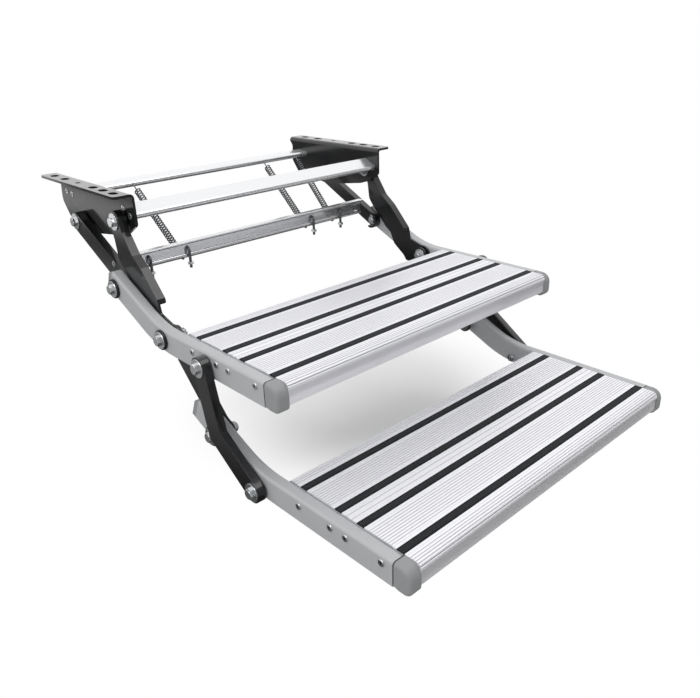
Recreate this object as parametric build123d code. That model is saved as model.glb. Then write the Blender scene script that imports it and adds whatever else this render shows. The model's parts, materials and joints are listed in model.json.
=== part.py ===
from build123d import *
import math
import os

os.makedirs("parts", exist_ok=True)

# A folding double entry step for a camper. Millimetres, +Z up, +Y towards the vehicle, +X to the right for a
# person who climbs it. The origin lies on top of the bracket flanges, midway between the two pilot holes.
# Everything is made on the right side (+X) and mirrored. A place in the side view is written as (y, z).

# Treads
TREAD_HALF = 265.0
PLANK_DEPTH = 111.0
PLANK_T = 30.0
PLANK_WALL = 2.4
PLANK_CHAMBERS = 2
PLANK_NOSE_R = 8.0
PLANK_NOSE_TALL = 9.4
PLANK_LEDGE = 1.5
PLANK_LOW_R = 1.2
UPPER = (-391.0, -167.5)
STEP_BACK = 208.7
STEP_DROP = 138.3
LOWER = (UPPER[0] - STEP_BACK, UPPER[1] - STEP_DROP)

# Ribs and grip strips of a plank, measured from the joint of the two planks
STRIP_WIDE = 12.0
STRIP_DEEP = 1.6
STRIP_PROUD = 0.5
STRIP_EDGE_R = 0.4
STRIP_FIT = 0.1
STRIP_INNER = 18.8
STRIP_OUTER = 81.0
RIB_PITCH = 4.2
RIB_GROOVE = 1.3
RIB_DEEP = 0.6
RIB_MARGIN = 1.6

# Screws that hold a plank between its rails
PLANK_SCREW_INNER = 13.0
PLANK_SCREW_OUTER = 70.0
PLANK_SCREW_Z = -11.0
SCREW_R = 2.1
SCREW_HEAD_R = 4.6
SCREW_HEAD_T = 1.8
RECESS_WIDE = 1.4
RECESS_LONG = 5.0
FLAT_HEAD_T = 0.8
SCREW_BITE = 20.0
SCREW_BOSS_R = 4.6

# Side rails: level under the tread, then bent up towards the vehicle
RAIL_T = 18.0
RAIL_DEEP = 34.0
RAIL_WALL = 2.2
RAIL_TOP = -1.0
RAIL_TOP_R = 4.5
RAIL_LOW_R = 1.2
RAIL_BEND_START = 125.0
RAIL_BEND = 24.0
RAIL_BEND_R = 180.0
RAIL_TAIL = 98.0
CAP_PROUD = 0.5
CAP_LONG = 25.5
RAIL_SEAM = CAP_LONG - PLANK_DEPTH - CAP_PROUD
CAP_DROP = 2.0
CAP_NOSE_R = 15.0
CAP_CHIN_R = 9.0
CAP_HEEL = 7.5
CAP_HEEL_R = 5.0
CAP_EDGE_R = 5.0
CAP_SPIGOT = 10.0
PLUG_SPIGOT = 5.5
SPIGOT_FIT = 0.15
PLUG_HEAD = 8.0
PLUG_CHAMFER = 7.0

# Pivots in the side view: two on the bracket, three as places from the middle of a tread's top, and two on the
# bent part of a rail, given by how far they lie past the bend and above the rail's middle line
REAR_TOP = (34.0, -66.0)
FRONT_TOP = (-106.0, -43.0)
FRONT_PIN = (150.0, -17.0)
ARM_TOP_PIN = (37.0, -19.0)
ARM_LOW_PIN = (147.7, -23.7)
REAR_TAIL_PIN = (84.4, -4.2)
INNER_TAIL_PIN = (53.0, -8.3)


def place(base, offset):
    return (base[0] + offset[0], base[1] + offset[1])


def on_tail(tread, pin):
    """Side-view place of a pin on the bent part of a rail."""
    rise = math.radians(RAIL_BEND)
    y = RAIL_BEND_START + RAIL_BEND_R * math.sin(rise) + pin[0] * math.cos(rise) - pin[1] * math.sin(rise)
    z = RAIL_BEND_R * (1 - math.cos(rise)) + pin[0] * math.sin(rise) + pin[1] * math.cos(rise)
    return place(tread, (y, RAIL_TOP - RAIL_DEEP / 2 + z))


REAR_LOW = on_tail(UPPER, REAR_TAIL_PIN)
FRONT_LOW = place(UPPER, FRONT_PIN)
ARM_TOP = place(UPPER, ARM_TOP_PIN)
ARM_LOW = place(LOWER, ARM_LOW_PIN)
INNER_LOW = on_tail(LOWER, INNER_TAIL_PIN)

# Brackets: an upright plate that stands clear of the rails on the inner side, and a flange bent outwards
PLATE_CLEAR = 20.0
PLATE_IN = TREAD_HALF - PLATE_CLEAR
PLATE_T = 4.0
FLANGE_WIDE = 32.0
FLANGE_OUT = PLATE_IN + FLANGE_WIDE
FLANGE_CORNER_R = 6.0
BRACKET_BEND_R = 3.0
BRACKET_FRONT = -143.0
BRACKET_REAR = 115.0
# The plate's lower edge, as places from the front pivot and from the rear pivot
FRONT_FOOT = ((-37.0, -3.5), (-10.0, -19.5), (10.0, -25.5))
REAR_FOOT = ((-47.0, -14.5), (-25.0, -14.5), (57.0, -3.5))
REAR_CORNER = ((-3.0, -43.5), (-8.0, -16.0))
FLANGE_HOLE_IN = 19.0
FLANGE_HOLE_X = PLATE_IN + FLANGE_HOLE_IN
SLOT_WIDE = 12.0
SLOT_LONG = 18.0
PILOT_R = 4.25
REAR_SLOTS = (47.5, 87.5)
FRONT_SLOTS = (-118.0, -85.5, -53.0)

# Fasteners and bearing washers
BOLT_R = 4.0
BOLT_FIT = 0.06
HEAD_ACROSS = 13.0
HEAD_T = 5.3
HEAD_BEVEL = 1.0
BOLT_TAIL = 2.0
NUT_T = 6.5
ZINC_R = 13.0
ZINC_T = 1.6
BACK_WASHER_R = 11.0
BLACK_R = 14.5
BLACK_T = 4.0
THIN_BEARING_T = 2.0
ARM_BEARING_T = 2.4
ARM_BEARING_R = 10.5
BUSH_R = 8.0
RUN_GAP = 0.1
SPLIT_GAP = 0.3

# Links
LINK_T = 3.5
LINK_DEEP = 13.4
LINK_IN = PLATE_IN + PLATE_T + THIN_BEARING_T + RUN_GAP
LINK_OUT = LINK_IN + LINK_DEEP
REAR_LINK_R = 15.0
FRONT_TOP_R = 16.0
FRONT_LOW_R = 17.0
FLANGE_FROM = 52.0
INNER_ARM_T = 4.0
INNER_ARM_SPACE = 2.0
INNER_TOP_R = 14.0
INNER_LOW_R = 13.0
OUTER_ARM_R = 15.0
OUTER_ARM_LIP = 8.0
OUTER_KNEE = (88.0, 33.0)
RAIL_OUT = TREAD_HALF + RAIL_T

# Edges of the front link, and of the inner arm, from its lower or front pivot: along the line of pivots, and above
FRONT_LINK_FRONT = ((-4.0, 16.5), (16.0, 8.0), (39.5, -6.0), (57.0, 4.5), (110.0, 4.5), (137.0, 0.0), (174.0, 5.0),
                    (190.0, 14.5))
FRONT_LINK_REAR = ((200.0, -14.5), (179.0, -26.0), (158.0, -41.5), (142.0, -43.5), (91.0, -43.0), (76.0, -40.0),
                   (55.0, -47.0), (25.0, -41.5), (13.0, -43.0), (-10.0, -13.5))
FLANGE_LEVEL = (-6.0, -8.0)
FLANGE_UNTIL = 170.0
INNER_ARM_FRONT = ((-2.0, -13.0), (14.0, -9.0), (140.0, -8.0), (152.0, -12.5))
INNER_ARM_REAR = ((160.0, 11.5), (108.0, 37.5), (20.0, 37.0), (-9.0, 10.0))

# How the plates lie beside each other, across the step
INNER_ARM_IN = LINK_OUT - LINK_T - INNER_ARM_SPACE - INNER_ARM_T
OUTER_ARM_IN = RAIL_OUT + ARM_BEARING_T + RUN_GAP
OUTER_ARM_OUT = OUTER_ARM_IN + LINK_T + OUTER_ARM_LIP

# Cross members
BAR_WIDE = 32.0
BAR_T = 10.0
BAR_SCREW_HALF = 10.0
BAR_WALL = 2.0
BAR_CHANNEL = 7.2
FRONT_BAR = (-120.0, -29.5)
FRONT_BAR_TILT = 27.0
REAR_BAR = (77.0, -28.0)
REAR_BAR_TILT = 5.0

# Middle bar between the rear links: its bead from the rear link's lower pivot, its screws from the bead
MIDDLE_BAR_OFFSET = (29.0, 14.0)
MIDDLE_SCREW_OFFSET = (5.0, 13.0)
MIDDLE_BAR = place(REAR_LOW, MIDDLE_BAR_OFFSET)
MIDDLE_BEAD_R = 4.3
MIDDLE_WEB_T = 2.2
MIDDLE_TALL = 24.0
MIDDLE_LIP = 8.0
MIDDLE_SCREW = place(MIDDLE_BAR, MIDDLE_SCREW_OFFSET)

# Hooks of the springs: a shank through the bar's web, an eye that hangs behind it and a tail in front of the bead.
# Hooks and springs are placed by how far they lie in from the left and from the right bracket plate.
HOOKS_FROM_LEFT = (36.0, 106.0)
HOOKS_FROM_RIGHT = (119.0, 52.0)
HOOK_PLACES = [d - PLATE_IN for d in HOOKS_FROM_LEFT] + [PLATE_IN - d for d in HOOKS_FROM_RIGHT]
HOOK_R = 2.3
HOOK_FIT = 0.2
HOOK_BEND_R = 6.0
HOOK_TIP = 16.0
HOOK_BEHIND = 18.0
HOOK_HANG = 7.0
HOOK_EYE_R = 4.0
EYE_WIRE_R = 1.6
HOOK_NUT_ACROSS = 9.0
HOOK_NUT_T = 4.0
HOOK_LEVEL = MIDDLE_SCREW[1]
HOOK_EYE = place(MIDDLE_BAR, (HOOK_BEHIND, -HOOK_HANG))
HOOK_FRONT = MIDDLE_BAR[0] - MIDDLE_BEAD_R - HOOK_R - HOOK_FIT

# Extension springs, each a little aslant: the places of their upper ends in the rear bar, from left to right
SPRINGS_FROM_LEFT = (31.0, 101.0)
SPRINGS_FROM_RIGHT = (111.0, 31.0)
SPRING_PLACES = [d - PLATE_IN for d in SPRINGS_FROM_LEFT] + [PLATE_IN - d for d in SPRINGS_FROM_RIGHT]
WIRE_R = 1.1
COIL_R = 5.2
COIL_TURNS = 24
COIL_PITCH = 5.4
COIL_START = 14.0
SPRING_FIT = 0.3
COIL_LEAD = 6.2
SPRING_SINK = 5.0


def turned(offset, degrees):
    c = math.cos(math.radians(degrees))
    s = math.sin(math.radians(degrees))
    return (offset[0] * c - offset[1] * s, offset[0] * s + offset[1] * c)


def heading(start, end):
    return math.degrees(math.atan2(end[1] - start[1], end[0] - start[0]))


def span(start, end):
    return math.hypot(end[0] - start[0], end[1] - start[1])


SPRING_FROM = place(REAR_BAR, turned((-BAR_WIDE / 2, 0), REAR_BAR_TILT))


def along(start, end, points):
    """Side-view places from points given along the line start to end and to its left."""
    angle = heading(start, end)
    return [place(start, turned(p, angle)) for p in points]


def slab(face, x_from, x_to):
    """Solid of a side-view face between two places across the step."""
    return extrude(Plane.YZ.offset(x_from) * face, amount=x_to - x_from)


def disc(centre, radius):
    return Pos(centre[0], centre[1]) * Circle(radius)


def rod(x_from, x_to, centre, radius):
    return slab(disc(centre, radius), x_from, x_to)


def ring(x_from, x_to, centre, outer, inner):
    return slab(disc(centre, outer) - disc(centre, inner), x_from, x_to)


def hexagon(centre, across):
    return Pos(centre[0], centre[1]) * RegularPolygon(across / 2, 6, major_radius=False)


def bolt_head(x_seat, centre, across=HEAD_ACROSS, tall=HEAD_T):
    """Hexagon head whose seat faces inwards, with the usual turned-down corners."""
    block = slab(hexagon(centre, across), x_seat, x_seat + tall)
    skirt = rod(x_seat, x_seat + tall, centre, across / math.sqrt(3))
    top = skirt.faces().sort_by(Axis.X)[-1]
    return block & chamfer(top.edges(), HEAD_BEVEL)


def nut(x_from, x_to, centre, across=HEAD_ACROSS, bore=BOLT_R):
    block = slab(hexagon(centre, across), x_from, x_to)
    return block - rod(x_from, x_to, centre, bore)


def pan_screw(x_seat, centre, bite, tall=SCREW_HEAD_T):
    """Screw with a low rounded head and a cross recess, seated on a face that looks outwards."""
    head = rod(x_seat, x_seat + tall, centre, SCREW_HEAD_R)
    head = fillet(head.faces().sort_by(Axis.X)[-1].edges(), tall / 2)
    cross = Rectangle(RECESS_WIDE, RECESS_LONG) + Rectangle(RECESS_LONG, RECESS_WIDE)
    cross = Pos(centre[0], centre[1]) * cross
    head = head - slab(cross, x_seat + tall / 2, x_seat + tall)
    return head + rod(x_seat - bite, x_seat, centre, SCREW_R)


def outline(points, radii):
    """Closed side-view face; each corner is rounded by its own radius, or stays sharp where that is 0."""
    face = make_face(Polyline(*points, close=True))
    for point, radius in zip(points, radii):
        if radius > 0:
            corner = face.vertices().sort_by_distance((point[0], point[1], 0))[0]
            face = fillet(corner, radius)
    return face


def strap(start, end, radius):
    middle = ((start[0] + end[0]) / 2, (start[1] + end[1]) / 2)
    bar = SlotCenterToCenter(span(start, end), 2 * radius)
    return Pos(middle[0], middle[1]) * Rot(0, 0, heading(start, end)) * bar


def save(name, shapes):
    solids = [s for shape in shapes for s in shape.solids()]
    export_step(solids[0] if len(solids) == 1 else Compound(children=solids), "parts/" + name + ".step")


def save_pair(name, shapes):
    """One node that holds the right-hand solids and their mirror images."""
    save(name, shapes + [mirror(s, about=Plane.YZ) for s in shapes])


def save_sides(name, shape):
    """Two nodes, one for each side."""
    save(name + "_right", [shape])
    save(name + "_left", [mirror(shape, about=Plane.YZ)])


# Treads

def rib_grooves(start, end):
    """Fine grooves that run across the step between two places on a plank's top."""
    count = int((end - start - 2 * RIB_MARGIN + RIB_PITCH - RIB_GROOVE) // RIB_PITCH)
    used = (count - 1) * RIB_PITCH
    first = (start + end - used) / 2
    return [Pos(first + i * RIB_PITCH, -RIB_DEEP / 2) * Rectangle(RIB_GROOVE, RIB_DEEP) for i in range(count)]


def nose_grooves():
    """The same grooves carried on round the nose, square to its curve."""
    step = math.degrees(RIB_PITCH / PLANK_NOSE_R)
    grooves = []
    for i in range(int(90 / step) + 1):
        out = turned((0, PLANK_NOSE_R), -i * step)
        centre = place((PLANK_DEPTH - PLANK_NOSE_R, -PLANK_NOSE_R), out)
        grooves.append(Pos(centre[0], centre[1]) * Rot(0, 0, -i * step) * Rectangle(RIB_GROOVE, 2 * RIB_DEEP))
    return grooves


def plank_section():
    """Section of the plank on the vehicle side of the joint: y from 0 to its rounded nose, which overhangs."""
    face = PLANK_DEPTH - PLANK_LEDGE
    corners = [(0, 0), (PLANK_DEPTH, 0), (PLANK_DEPTH, -PLANK_NOSE_TALL), (face, -PLANK_NOSE_TALL),
               (face, -PLANK_T), (0, -PLANK_T)]
    body = outline(corners, [0, PLANK_NOSE_R, 0, 0, PLANK_LOW_R, 0])
    inner_top = -PLANK_WALL - STRIP_DEEP
    tall = PLANK_T + inner_top - PLANK_WALL
    clear = (face - (PLANK_CHAMBERS + 1) * PLANK_WALL) / PLANK_CHAMBERS
    for i in range(PLANK_CHAMBERS):
        left = PLANK_WALL + i * (clear + PLANK_WALL)
        body -= Pos(left + clear / 2, inner_top - tall / 2) * RectangleRounded(clear, tall, PLANK_WALL / 2)
    for y in (PLANK_SCREW_INNER, PLANK_SCREW_OUTER):
        body += Pos(y, PLANK_SCREW_Z) * Circle(SCREW_BOSS_R)
        body += Pos(y, PLANK_SCREW_Z / 2) * Rectangle(SCREW_BOSS_R, -PLANK_SCREW_Z)
        body -= Pos(y, PLANK_SCREW_Z) * Circle(SCREW_R)
    half = STRIP_WIDE / 2 + STRIP_FIT
    for y in (STRIP_INNER, STRIP_OUTER):
        body -= Pos(y, -STRIP_DEEP / 2) * Rectangle(2 * half, STRIP_DEEP)
    spans = ((0.0, STRIP_INNER - half), (STRIP_INNER + half, STRIP_OUTER - half),
             (STRIP_OUTER + half, PLANK_DEPTH - PLANK_NOSE_R))
    for start, end in spans:
        for groove in rib_grooves(start, end):
            body -= groove
    for groove in nose_grooves():
        body -= groove
    return body


def plank(tread, side):
    """A plank from rail to rail; side is 1 towards the vehicle and -1 towards the person."""
    section = plank_section()
    if side < 0:
        section = mirror(section, about=Plane.YZ)
    section = Pos(tread[0], tread[1]) * section
    return slab(section, -TREAD_HALF, TREAD_HALF)


def grip_strips(tread):
    strips = []
    for offset in (-STRIP_OUTER, -STRIP_INNER, STRIP_INNER, STRIP_OUTER):
        tall = STRIP_DEEP + STRIP_PROUD
        centre = place(tread, (offset, STRIP_PROUD - tall / 2))
        face = Pos(centre[0], centre[1]) * Rectangle(STRIP_WIDE, tall)
        face = fillet(face.vertices().sort_by(Axis.Y)[-2:], STRIP_EDGE_R)
        strips.append(slab(face, -TREAD_HALF, TREAD_HALF))
    return strips


# Rails

def rail_path(tread):
    """Middle line of the right-hand rail, with the place and direction of its rear end."""
    x = TREAD_HALF + RAIL_T / 2
    z = tread[1] + RAIL_TOP - RAIL_DEEP / 2
    y = tread[0]
    start = Vector(x, y + RAIL_SEAM, z)
    bend = Vector(x, y + RAIL_BEND_START, z)
    rise = math.radians(RAIL_BEND)
    after = bend + Vector(0, RAIL_BEND_R * math.sin(rise), RAIL_BEND_R * (1 - math.cos(rise)))
    way = Vector(0, math.cos(rise), math.sin(rise))
    end = after + way * RAIL_TAIL
    arc = TangentArc(bend, after, tangent=(0, 1, 0))
    return Line(start, bend) + arc + Line(after, end), end, way


def rail_section(shrink=0.0):
    section = Rectangle(RAIL_T - 2 * shrink, RAIL_DEEP - 2 * shrink)
    corners = section.vertices().sort_by(Axis.Y)
    top = max(RAIL_TOP_R - shrink, RAIL_LOW_R / 2)
    low = max(RAIL_LOW_R - shrink, RAIL_LOW_R / 2)
    section = fillet(corners[-2:], top)
    return fillet(section.vertices().group_by(Axis.Y)[0], low)


def rail_frame(origin, way):
    """Plane square to a rail, whose own y points to the rail's upper side."""
    return Plane(origin=origin, x_dir=(-1, 0, 0), z_dir=way)


def rail(tread, holes):
    """Hollow rail of the right-hand side, with its cross holes."""
    path, end, way = rail_path(tread)
    start = rail_frame(path @ 0, (0, 1, 0))
    body = sweep(start * rail_section(), path=path)
    body -= sweep(start * rail_section(RAIL_WALL), path=path)
    for centre, radius in holes:
        body -= rod(TREAD_HALF, RAIL_OUT, centre, radius)
    return body


def rail_plug(tread):
    """Closes the rear end of a rail; its upper corner is cut off."""
    path, end, way = rail_path(tread)
    seat = rail_frame(end, way)
    head = extrude(seat * rail_section(), amount=PLUG_HEAD)
    half = RAIL_DEEP / 2
    wedge = make_face(Polyline((PLUG_HEAD - PLUG_CHAMFER, half), (PLUG_HEAD, half - PLUG_CHAMFER),
                               (PLUG_HEAD, half), close=True))
    side = Plane(origin=end, x_dir=way, z_dir=(1, 0, 0))
    head -= extrude(side.offset(-RAIL_T) * wedge, amount=2 * RAIL_T)
    tongue = extrude(seat * rail_section(RAIL_WALL + SPIGOT_FIT), amount=-PLUG_SPIGOT)
    return head + tongue


def rail_cap(tread):
    """Rounded nose of a rail, which hangs a little lower than the rail, with a tongue inside it."""
    top = RAIL_TOP
    low = top - RAIL_DEEP - CAP_DROP
    front = -PLANK_DEPTH - CAP_PROUD
    corners = [(RAIL_SEAM, top), (RAIL_SEAM, low + CAP_DROP), (RAIL_SEAM - CAP_HEEL, low), (front, low),
               (front, top)]
    points = [place(tread, c) for c in corners]
    body = slab(outline(points, [0, 0, CAP_HEEL_R, CAP_CHIN_R, CAP_NOSE_R]), TREAD_HALF, RAIL_OUT)
    outer = body.faces().sort_by(Axis.X)[-1]
    rim = outer.edges().sort_by(Axis.Y)[:-1]
    body = fillet(rim, CAP_EDGE_R)
    path, end, way = rail_path(tread)
    seat = rail_frame(path @ 0, (0, 1, 0))
    return body + extrude(seat * rail_section(RAIL_WALL + SPIGOT_FIT), amount=CAP_SPIGOT)


def plank_screw_places(tread):
    offsets = (-PLANK_SCREW_OUTER, -PLANK_SCREW_INNER, PLANK_SCREW_INNER, PLANK_SCREW_OUTER)
    return [place(tread, (y, PLANK_SCREW_Z)) for y in offsets]


def tread_set(name, tread, pivots):
    """Rails, planks, strips, caps, plugs and screws of one tread."""
    holes = [(p, BOLT_R + BOLT_FIT) for p in pivots]
    holes += [(p, SCREW_R + BOLT_FIT) for p in plank_screw_places(tread)]
    save_sides(name + "_rail", rail(tread, holes))
    save(name + "_rear_plank", [plank(tread, 1)])
    save(name + "_front_plank", [plank(tread, -1)])
    save(name + "_grip_strips", grip_strips(tread))
    save_pair(name + "_rail_caps", [rail_cap(tread)])
    save_pair(name + "_rail_plugs", [rail_plug(tread)])
    screws = [pan_screw(RAIL_OUT, p, RAIL_T + SCREW_BITE) for p in plank_screw_places(tread)]
    save_pair(name + "_rail_screws", screws)


tread_set("upper", UPPER, [REAR_LOW, FRONT_LOW, ARM_TOP])
tread_set("lower", LOWER, [ARM_LOW, INNER_LOW])


# Brackets and cross members

def bar_screws(centre, tilt):
    return [place(centre, turned((s * BAR_SCREW_HALF, 0), tilt)) for s in (-1, 1)]


def bracket():
    """Upright plate with an outward flange on top, bent from one sheet."""
    deep = PLATE_T - REAR_TOP[1] - REAR_FOOT[0][1]
    corners = [(PLATE_IN, -deep), (PLATE_IN + PLATE_T, -deep), (PLATE_IN + PLATE_T, -PLATE_T),
               (FLANGE_OUT, -PLATE_T), (FLANGE_OUT, 0), (PLATE_IN, 0)]
    radii = [0, 0, BRACKET_BEND_R, 0, 0, BRACKET_BEND_R + PLATE_T]
    sheet = extrude(Plane.XZ.offset(-BRACKET_REAR) * outline(corners, radii), amount=BRACKET_REAR - BRACKET_FRONT)
    sheet = fillet(sheet.edges().filter_by(Axis.Z).group_by(Axis.X)[-1], FLANGE_CORNER_R)
    sides = [(BRACKET_FRONT, 0)]
    sides += [place(FRONT_TOP, p) for p in FRONT_FOOT]
    sides += [place(REAR_TOP, p) for p in REAR_FOOT]
    sides += [(BRACKET_REAR + p[0], p[1]) for p in REAR_CORNER]
    sides += [(BRACKET_REAR, -PLATE_T - BRACKET_BEND_R), (BRACKET_REAR, 0)]
    face = outline(sides, [0, 6, 8, 12, 20, 20, 14, 18, 10, 1, 0])
    body = sheet & slab(face, PLATE_IN, FLANGE_OUT)
    for y in REAR_SLOTS + FRONT_SLOTS:
        slot = Pos(FLANGE_HOLE_X, y, -PLATE_T) * Rot(0, 0, 90) * SlotOverall(SLOT_LONG, SLOT_WIDE)
        body -= extrude(slot, amount=PLATE_T)
    body -= Pos(FLANGE_HOLE_X, 0, -PLATE_T / 2) * Cylinder(PILOT_R, PLATE_T)
    for pivot in (REAR_TOP, FRONT_TOP):
        body -= rod(PLATE_IN, PLATE_IN + PLATE_T, pivot, BOLT_R + BOLT_FIT)
    for p in bar_screws(FRONT_BAR, FRONT_BAR_TILT) + bar_screws(REAR_BAR, REAR_BAR_TILT):
        body -= rod(PLATE_IN, PLATE_IN + PLATE_T, p, SCREW_R + BOLT_FIT)
    return body


def flat_oval_bar(centre, tilt):
    """Flat oval tube with two solid ribs for its screws, from plate to plate."""
    section = SlotOverall(BAR_WIDE, BAR_T)
    section -= SlotOverall(BAR_WIDE - 2 * BAR_WALL, BAR_T - 2 * BAR_WALL)
    for s in (-1, 1):
        channel = Pos(s * BAR_SCREW_HALF, 0) * Rectangle(BAR_CHANNEL, BAR_T - BAR_WALL)
        section += channel
        section -= Pos(s * BAR_SCREW_HALF, 0) * Circle(SCREW_R)
    section = Pos(centre[0], centre[1]) * Rot(0, 0, tilt) * section
    return slab(section, -PLATE_IN, PLATE_IN)


def spring_line(x, hook_x):
    """Where a spring leaves the rear bar, the middle of its hook's eye, and the direction between them."""
    start = Vector(x, SPRING_FROM[0], SPRING_FROM[1])
    stop = Vector(hook_x, HOOK_EYE[0], HOOK_EYE[1])
    return start, stop, (stop - start).normalized()


def rear_spring_bar():
    """The rear bar, with a blind hole in its front edge for the straight end of each spring."""
    bar = flat_oval_bar(REAR_BAR, REAR_BAR_TILT)
    deep = SPRING_SINK + SPRING_FIT
    for x, hook_x in zip(SPRING_PLACES, HOOK_PLACES):
        start, stop, way = spring_line(x, hook_x)
        line = Plane(origin=start + way * COIL_LEAD, z_dir=way * -1)
        bar -= extrude(line * Circle(WIRE_R + SPRING_FIT), amount=COIL_LEAD + deep)
    return bar


save_sides("bracket", bracket())
save("front_crossbar", [flat_oval_bar(FRONT_BAR, FRONT_BAR_TILT)])
save("rear_spring_bar", [rear_spring_bar()])

plate_out = PLATE_IN + PLATE_T
screws = []
for p in bar_screws(FRONT_BAR, FRONT_BAR_TILT) + bar_screws(REAR_BAR, REAR_BAR_TILT):
    screws.append(pan_screw(plate_out, p, PLATE_T + SCREW_BITE, FLAT_HEAD_T))
save_pair("crossbar_screws", screws)

# Pivot bolts of the brackets: head outside the link, nut and its washer inside the plate
bolts = []
washers = []
nuts = []
bearings = []
bushes = []
for pivot in (REAR_TOP, FRONT_TOP):
    seat = LINK_OUT + RUN_GAP
    nut_out = PLATE_IN - ZINC_T
    bolts.append(bolt_head(seat + ZINC_T, pivot) + rod(nut_out - NUT_T - BOLT_TAIL, seat + ZINC_T, pivot, BOLT_R))
    washers.append(ring(seat, seat + ZINC_T, pivot, ZINC_R, BOLT_R))
    washers.append(ring(nut_out, PLATE_IN, pivot, BACK_WASHER_R, BOLT_R))
    nuts.append(nut(nut_out - NUT_T, nut_out, pivot))
    bearings.append(ring(plate_out, plate_out + THIN_BEARING_T, pivot, ZINC_R, BOLT_R))
    web_in = LINK_OUT - LINK_T
    bushes.append(ring(plate_out + THIN_BEARING_T, web_in - RUN_GAP, pivot, BUSH_R, BOLT_R))
save_pair("bracket_pivot_bolts", bolts)
save_pair("bracket_pivot_washers", washers)
save_pair("bracket_pivot_nuts", nuts)
save_pair("bracket_bearing_washers", bearings)
save_pair("bracket_pivot_bushes", bushes)


# Links and arms

def front_link():
    """Wide cranked plate: its front edge is flanged, and cut back where it meets the folded tread's edge."""
    radii = [0, 4, 5, 4, 20, 20, 20, 0, 0, 20, 10, 10, 5, 5, 8, 10, 6, 0]
    web = outline(along(FRONT_LOW, FRONT_TOP, FRONT_LINK_FRONT + FRONT_LINK_REAR), radii)
    web = web + disc(FRONT_LOW, FRONT_LOW_R) + disc(FRONT_TOP, FRONT_TOP_R)
    lip = web - offset(web, -LINK_T)
    reach = span(FRONT_LOW, FRONT_TOP) + FRONT_TOP_R
    corners = [(FLANGE_FROM, FLANGE_LEVEL[0]), (FLANGE_FROM, 2 * FRONT_TOP_R), (reach, 2 * FRONT_TOP_R),
               (reach, FLANGE_LEVEL[1]), (FLANGE_UNTIL, FLANGE_LEVEL[0])]
    flanged = along(FRONT_LOW, FRONT_TOP, corners)
    lip = lip & make_face(Polyline(*flanged, close=True))
    body = slab(web, LINK_OUT - LINK_T, LINK_OUT) + slab(lip, LINK_IN, LINK_OUT)
    for pivot in (FRONT_LOW, FRONT_TOP):
        body -= rod(LINK_IN, LINK_OUT, pivot, BOLT_R + BOLT_FIT)
    return body


def rear_link():
    """Pressed channel, open downwards."""
    web = strap(REAR_LOW, REAR_TOP, REAR_LINK_R)
    lip = web - strap(REAR_LOW, REAR_TOP, REAR_LINK_R - LINK_T)
    reach = span(REAR_LOW, REAR_TOP)
    open_side = along(REAR_LOW, REAR_TOP, [(0, 0), (reach, 0), (reach, -2 * REAR_LINK_R), (0, -2 * REAR_LINK_R)])
    lip = lip - make_face(Polyline(*open_side, close=True))
    body = slab(web, LINK_OUT - LINK_T, LINK_OUT) + slab(lip, LINK_IN, LINK_OUT)
    for pivot, radius in ((REAR_LOW, BOLT_R), (REAR_TOP, BOLT_R + BOLT_FIT), (MIDDLE_SCREW, SCREW_R)):
        body -= rod(LINK_IN, LINK_OUT, pivot, radius)
    return body - rod(LINK_OUT - FLAT_HEAD_T, LINK_OUT, MIDDLE_SCREW, SCREW_HEAD_R)


def inner_arm():
    """Flat plate, wider towards the vehicle, between the upper rail's front pivot and the lower rail."""
    web = outline(along(FRONT_LOW, INNER_LOW, INNER_ARM_FRONT + INNER_ARM_REAR), [0, 10, 10, 0, 0, 25, 20, 0])
    web = web + disc(FRONT_LOW, INNER_TOP_R) + disc(INNER_LOW, INNER_LOW_R)
    body = slab(web, INNER_ARM_IN, INNER_ARM_IN + INNER_ARM_T)
    body -= rod(INNER_ARM_IN, INNER_ARM_IN + INNER_ARM_T, FRONT_LOW, BOLT_R + BOLT_FIT)
    return body - rod(INNER_ARM_IN, INNER_ARM_IN + INNER_ARM_T, INNER_LOW, BOLT_R)


def outer_arm():
    """Cranked channel outside the rails; its flange runs round the front edge and both ends."""
    knee = along(ARM_TOP, ARM_LOW, [OUTER_KNEE])[0]
    web = strap(ARM_TOP, knee, OUTER_ARM_R) + strap(knee, ARM_LOW, OUTER_ARM_R)
    slim = OUTER_ARM_R - LINK_T
    lip = web - strap(ARM_TOP, knee, slim) - strap(knee, ARM_LOW, slim)
    reach = span(ARM_TOP, ARM_LOW)
    above = 3 * OUTER_KNEE[1]
    mouth = along(ARM_TOP, ARM_LOW, [(0, 0), OUTER_KNEE, (reach, 0), (0.75 * reach, above), (reach / 4, above)])
    lip = lip - make_face(Polyline(*mouth, close=True))
    body = slab(web, OUTER_ARM_OUT - LINK_T, OUTER_ARM_OUT) + slab(lip, OUTER_ARM_IN, OUTER_ARM_OUT)
    for pivot in (ARM_TOP, ARM_LOW):
        body -= rod(OUTER_ARM_IN, OUTER_ARM_OUT, pivot, BOLT_R + BOLT_FIT)
    return body


save_sides("front_link", front_link())
save_sides("rear_link", rear_link())
save_sides("inner_arm", inner_arm())
save_sides("outer_arm", outer_arm())

# Bolt through the upper rail, the front link and the inner arm: black and zinc washers outside, nut inside
seat = RAIL_OUT + BLACK_T
washer_out = INNER_ARM_IN - RUN_GAP
nut_out = washer_out - ZINC_T
middle_back_washer = ring(nut_out, washer_out, FRONT_LOW, BACK_WASHER_R, BOLT_R)
bolt = bolt_head(seat + ZINC_T, FRONT_LOW) + rod(nut_out - NUT_T - BOLT_TAIL, seat + ZINC_T, FRONT_LOW, BOLT_R)
save_pair("middle_pivot_bolts", [bolt])
inner_parts = [nut(nut_out - NUT_T, nut_out, FRONT_LOW)]
between = ring(INNER_ARM_IN + INNER_ARM_T + RUN_GAP, LINK_OUT - LINK_T - RUN_GAP, FRONT_LOW, BUSH_R, BOLT_R)
inner_parts.append(between)
save_pair("middle_pivot_nuts", inner_parts)

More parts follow.
